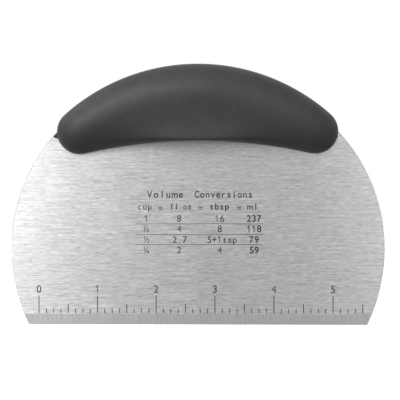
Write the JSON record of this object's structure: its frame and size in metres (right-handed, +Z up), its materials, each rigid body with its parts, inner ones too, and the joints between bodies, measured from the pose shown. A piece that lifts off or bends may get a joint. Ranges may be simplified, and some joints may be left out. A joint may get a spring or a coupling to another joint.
{
  "type": "bench scraper",
  "caption": "Half-round stainless bench scraper with a straight ground edge, a printed ruler and conversion table, and a curved soft-touch handle along its top.",
  "frame": {"origin": "middle of the cutting edge, at the plate's mid-thickness; the lowest point of the scraper standing on its edge", "axes": "+X along the edge, to the right as the printed face is read; +Y from the printed front to the plain back; +Z up from the edge to the handle"},
  "size_m": [0.161, 0.0222, 0.1127],
  "materials": {
    "blade": "brushed lengthwise, with a smoother ground strip along the edge",
    "core": "as moulded",
    "rivet": "bare",
    "grip": "fine matt moulded texture"
  },
  "bodies": {
    "root": {"blade": "blade", "core_front": "core", "core_back": "core", "rivet_left": "rivet", "rivet_middle": "rivet", "rivet_right": "rivet", "grip": "grip"}
  },
  "joints": []
}
